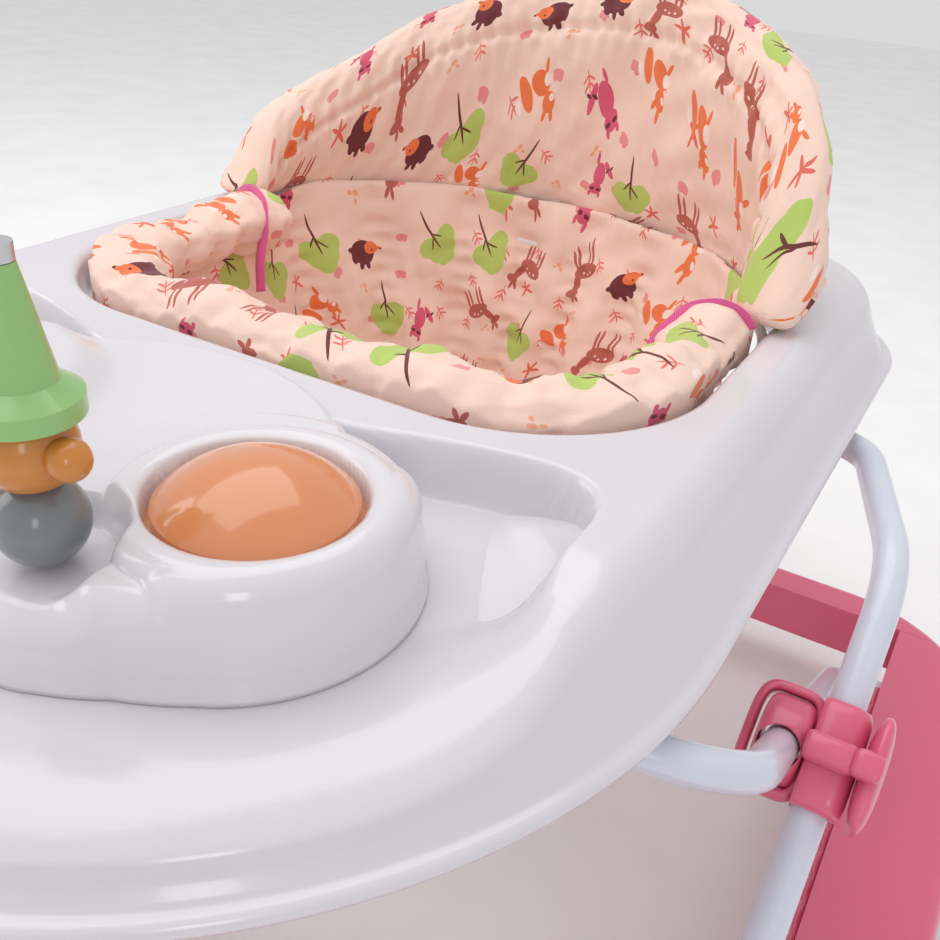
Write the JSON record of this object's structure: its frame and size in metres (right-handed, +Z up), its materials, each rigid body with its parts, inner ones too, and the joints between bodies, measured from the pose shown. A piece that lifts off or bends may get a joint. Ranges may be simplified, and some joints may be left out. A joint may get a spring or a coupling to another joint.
{
  "type": "baby walker",
  "caption": "Baby walker: wide moulded base on swivel casters, crossed steel tube frame with height clamps, tray with toy panel, and a padded fabric seat.",
  "frame": {"origin": "on the floor, under the middle of the whole object's box", "axes": "+Z up, -Y towards the front of the tray, +X towards the left side seen from the front"},
  "size_m": [0.796, 0.7399, 0.556],
  "materials": {
    "tray_plastic": "gloss",
    "panel_plastic": "gloss",
    "tube_paint": "satin",
    "pink_plastic": "gloss",
    "white_plastic": "matte",
    "wheel_plastic": "matte",
    "steel": "satin",
    "grip_rubber": "matte",
    "amber_lens": "gloss",
    "green_plastic": "gloss",
    "orange_plastic": "gloss",
    "grey_plastic": "gloss",
    "print_fabric": "matte",
    "webbing": "matte",
    "board_plastic": "matte",
    "electronics": "matte"
  },
  "bodies": {
    "base": {"base_front": "pink_plastic", "base_rear_bar": "pink_plastic", "base_side_left": "pink_plastic", "base_side_right": "pink_plastic", "tube_clips": "pink_plastic", "grip_strips": "grip_rubber"},
    "outer_leg": {"outer_leg_tube": "tube_paint"},
    "inner_leg": {"inner_leg_tube": "tube_paint"},
    "clamps": {"height_clamp_left": "pink_plastic", "height_clamp_right": "pink_plastic", "clamp_pins": "steel"},
    "saddles": {"clamp_saddles": "pink_plastic"},
    "lever_left": {"clamp_lever_left": "pink_plastic"},
    "lever_right": {"clamp_lever_right": "pink_plastic"},
    "tray": {"tray_shell": "tray_plastic", "tray_brackets": "tray_plastic", "slide_rails": "tray_plastic", "toy_panel": "panel_plastic", "toy_panel_cover": "panel_plastic", "circuit_boards": "electronics", "speaker": "electronics", "toy_spindles": "steel", "battery_box": "tray_plastic", "battery_cells": "electronics", "seat_ring": "white_plastic", "ring_hooks": "white_plastic", "seat_bolster": "print_fabric", "seat_sling": "print_fabric", "backrest_pad": "print_fabric", "backrest_board": "board_plastic", "seat_straps": "webbing", "dome_spring_left": "steel", "dome_spring_right": "steel"},
    "battery_door": {"battery_door": "tray_plastic"},
    "dome_left": {"dome_button_left": "amber_lens"},
    "toy_ball_left_body": {"toy_ball_left": "grey_plastic"},
    "toy_eared_left_body": {"toy_eared_ball_left": "orange_plastic"},
    "toy_cone_left_body": {"toy_cone_left": "green_plastic"},
    "dome_right": {"dome_button_right": "amber_lens"},
    "toy_ball_right_body": {"toy_ball_right": "grey_plastic"},
    "toy_eared_right_body": {"toy_eared_ball_right": "orange_plastic"},
    "toy_cone_right_body": {"toy_cone_right": "green_plastic"},
    "caster_front_left": {"caster_fork_front_left": "white_plastic", "caster_axle_front_left": "steel"},
    "wheel_front_left": {"caster_wheel_front_left": "wheel_plastic"},
    "caster_front_right": {"caster_fork_front_right": "white_plastic", "caster_axle_front_right": "steel"},
    "wheel_front_right": {"caster_wheel_front_right": "wheel_plastic"},
    "caster_middle_left": {"caster_fork_middle_left": "white_plastic", "caster_axle_middle_left": "steel"},
    "wheel_middle_left": {"caster_wheel_middle_left": "wheel_plastic"},
    "caster_middle_right": {"caster_fork_middle_right": "white_plastic", "caster_axle_middle_right": "steel"},
    "wheel_middle_right": {"caster_wheel_middle_right": "wheel_plastic"},
    "caster_rear_left": {"caster_fork_rear_left": "white_plastic", "caster_axle_rear_left": "steel"},
    "wheel_rear_left": {"caster_wheel_rear_left": "wheel_plastic"},
    "caster_rear_right": {"caster_fork_rear_right": "white_plastic", "caster_axle_rear_right": "steel"},
    "wheel_rear_right": {"caster_wheel_rear_right": "wheel_plastic"}
  },
  "joints": [
    {"name": "frame_fold", "type": "hinge", "parent": "base", "child": "outer_leg", "pos_m": [0, -0.231, 0.066], "axis": [-1, 0, 0], "range_deg": [0, 16]},
    {"name": "inner_leg_fold", "type": "hinge", "parent": "base", "child": "inner_leg", "pos_m": [0, 0.265, 0.066], "axis": [1, 0, 0], "range_deg": [0, 16]},
    {"name": "tray_level", "type": "hinge", "parent": "outer_leg", "child": "tray", "pos_m": [0, 0.177, 0.308], "axis": [1, 0, 0], "range_deg": [0, 16]},
    {"name": "clamp_slide", "type": "slide", "parent": "outer_leg", "child": "clamps", "axis": [0, -0.7625, -0.647], "range_m": [0, 0.0684]},
    {"name": "saddle_swivel", "type": "hinge", "parent": "clamps", "child": "saddles", "pos_m": [0, -0.02694, 0.23916], "axis": [1, 0, 0], "range_deg": [0, 32.5]},
    {"name": "lever_left_open", "type": "hinge", "parent": "clamps", "child": "lever_left", "pos_m": [-0.312, -0.04247, 0.25746], "axis": [-1, 0, 0], "range_deg": [0, 70]},
    {"name": "dome_left_press", "type": "slide", "parent": "tray", "child": "dome_left", "axis": [0, 0, -1], "range_m": [0, 0.003], "stiffness_N_per_m": 900, "springref_m": -0.004, "deforming": ["dome_spring_left"]},
    {"name": "toy_ball_left_spin", "type": "hinge", "parent": "tray", "child": "toy_ball_left_body", "pos_m": [-0.06, -0.251, 0.4], "axis": [0, 0, 1], "continuous": true},
    {"name": "toy_eared_left_spin", "type": "hinge", "parent": "tray", "child": "toy_eared_left_body", "pos_m": [-0.06, -0.251, 0.4], "axis": [0, 0, 1], "continuous": true},
    {"name": "toy_cone_left_spin", "type": "hinge", "parent": "tray", "child": "toy_cone_left_body", "pos_m": [-0.06, -0.251, 0.4], "axis": [0, 0, 1], "continuous": true},
    {"name": "lever_right_open", "type": "hinge", "parent": "clamps", "child": "lever_right", "pos_m": [0.312, -0.04247, 0.25746], "axis": [-1, 0, 0], "range_deg": [0, 70]},
    {"name": "dome_right_press", "type": "slide", "parent": "tray", "child": "dome_right", "axis": [0, 0, -1], "range_m": [0, 0.003], "stiffness_N_per_m": 900, "springref_m": -0.004, "deforming": ["dome_spring_right"]},
    {"name": "toy_ball_right_spin", "type": "hinge", "parent": "tray", "child": "toy_ball_right_body", "pos_m": [0.06, -0.251, 0.4], "axis": [0, 0, 1], "continuous": true},
    {"name": "toy_eared_right_spin", "type": "hinge", "parent": "tray", "child": "toy_eared_right_body", "pos_m": [0.06, -0.251, 0.4], "axis": [0, 0, 1], "continuous": true},
    {"name": "toy_cone_right_spin", "type": "hinge", "parent": "tray", "child": "toy_cone_right_body", "pos_m": [0.06, -0.251, 0.4], "axis": [0, 0, 1], "continuous": true},
    {"name": "battery_door_slide", "type": "slide", "parent": "tray", "child": "battery_door", "axis": [0, -1, 0], "range_m": [0, 0.03]},
    {"name": "swivel_front_left", "type": "hinge", "parent": "base", "child": "caster_front_left", "pos_m": [-0.25, -0.305, 0.05], "axis": [0, 0, 1], "continuous": true},
    {"name": "roll_front_left", "type": "hinge", "parent": "caster_front_left", "child": "wheel_front_left", "pos_m": [-0.25, -0.293, 0.019], "axis": [1, 0, 0], "continuous": true},
    {"name": "swivel_front_right", "type": "hinge", "parent": "base", "child": "caster_front_right", "pos_m": [0.25, -0.305, 0.05], "axis": [0, 0, 1], "continuous": true},
    {"name": "roll_front_right", "type": "hinge", "parent": "caster_front_right", "child": "wheel_front_right", "pos_m": [0.25, -0.293, 0.019], "axis": [1, 0, 0], "continuous": true},
    {"name": "swivel_middle_left", "type": "hinge", "parent": "base", "child": "caster_middle_left", "pos_m": [-0.368, 0.035, 0.05], "axis": [0, 0, 1], "continuous": true},
    {"name": "roll_middle_left", "type": "hinge", "parent": "caster_middle_left", "child": "wheel_middle_left", "pos_m": [-0.368, 0.047, 0.019], "axis": [1, 0, 0], "continuous": true},
    {"name": "swivel_middle_right", "type": "hinge", "parent": "base", "child": "caster_middle_right", "pos_m": [0.368, 0.035, 0.05], "axis": [0, 0, 1], "continuous": true},
    {"name": "roll_middle_right", "type": "hinge", "parent": "caster_middle_right", "child": "wheel_middle_right", "pos_m": [0.368, 0.047, 0.019], "axis": [1, 0, 0], "continuous": true},
    {"name": "swivel_rear_left", "type": "hinge", "parent": "base", "child": "caster_rear_left", "pos_m": [-0.34, 0.32, 0.05], "axis": [0, 0, 1], "continuous": true},
    {"name": "roll_rear_left", "type": "hinge", "parent": "caster_rear_left", "child": "wheel_rear_left", "pos_m": [-0.34, 0.332, 0.019], "axis": [1, 0, 0], "continuous": true},
    {"name": "swivel_rear_right", "type": "hinge", "parent": "base", "child": "caster_rear_right", "pos_m": [0.34, 0.32, 0.05], "axis": [0, 0, 1], "continuous": true},
    {"name": "roll_rear_right", "type": "hinge", "parent": "caster_rear_right", "child": "wheel_rear_right", "pos_m": [0.34, 0.332, 0.019], "axis": [1, 0, 0], "continuous": true}
  ],
  "couplings": [
    {"joint": "inner_leg_fold", "follows": "frame_fold", "ratio": 1},
    {"joint": "tray_level", "follows": "frame_fold", "ratio": 1},
    {"joint": "clamp_slide", "follows": "frame_fold", "m_per_rad": 0.24329},
    {"joint": "saddle_swivel", "follows": "frame_fold", "ratio": 2}
  ]
}
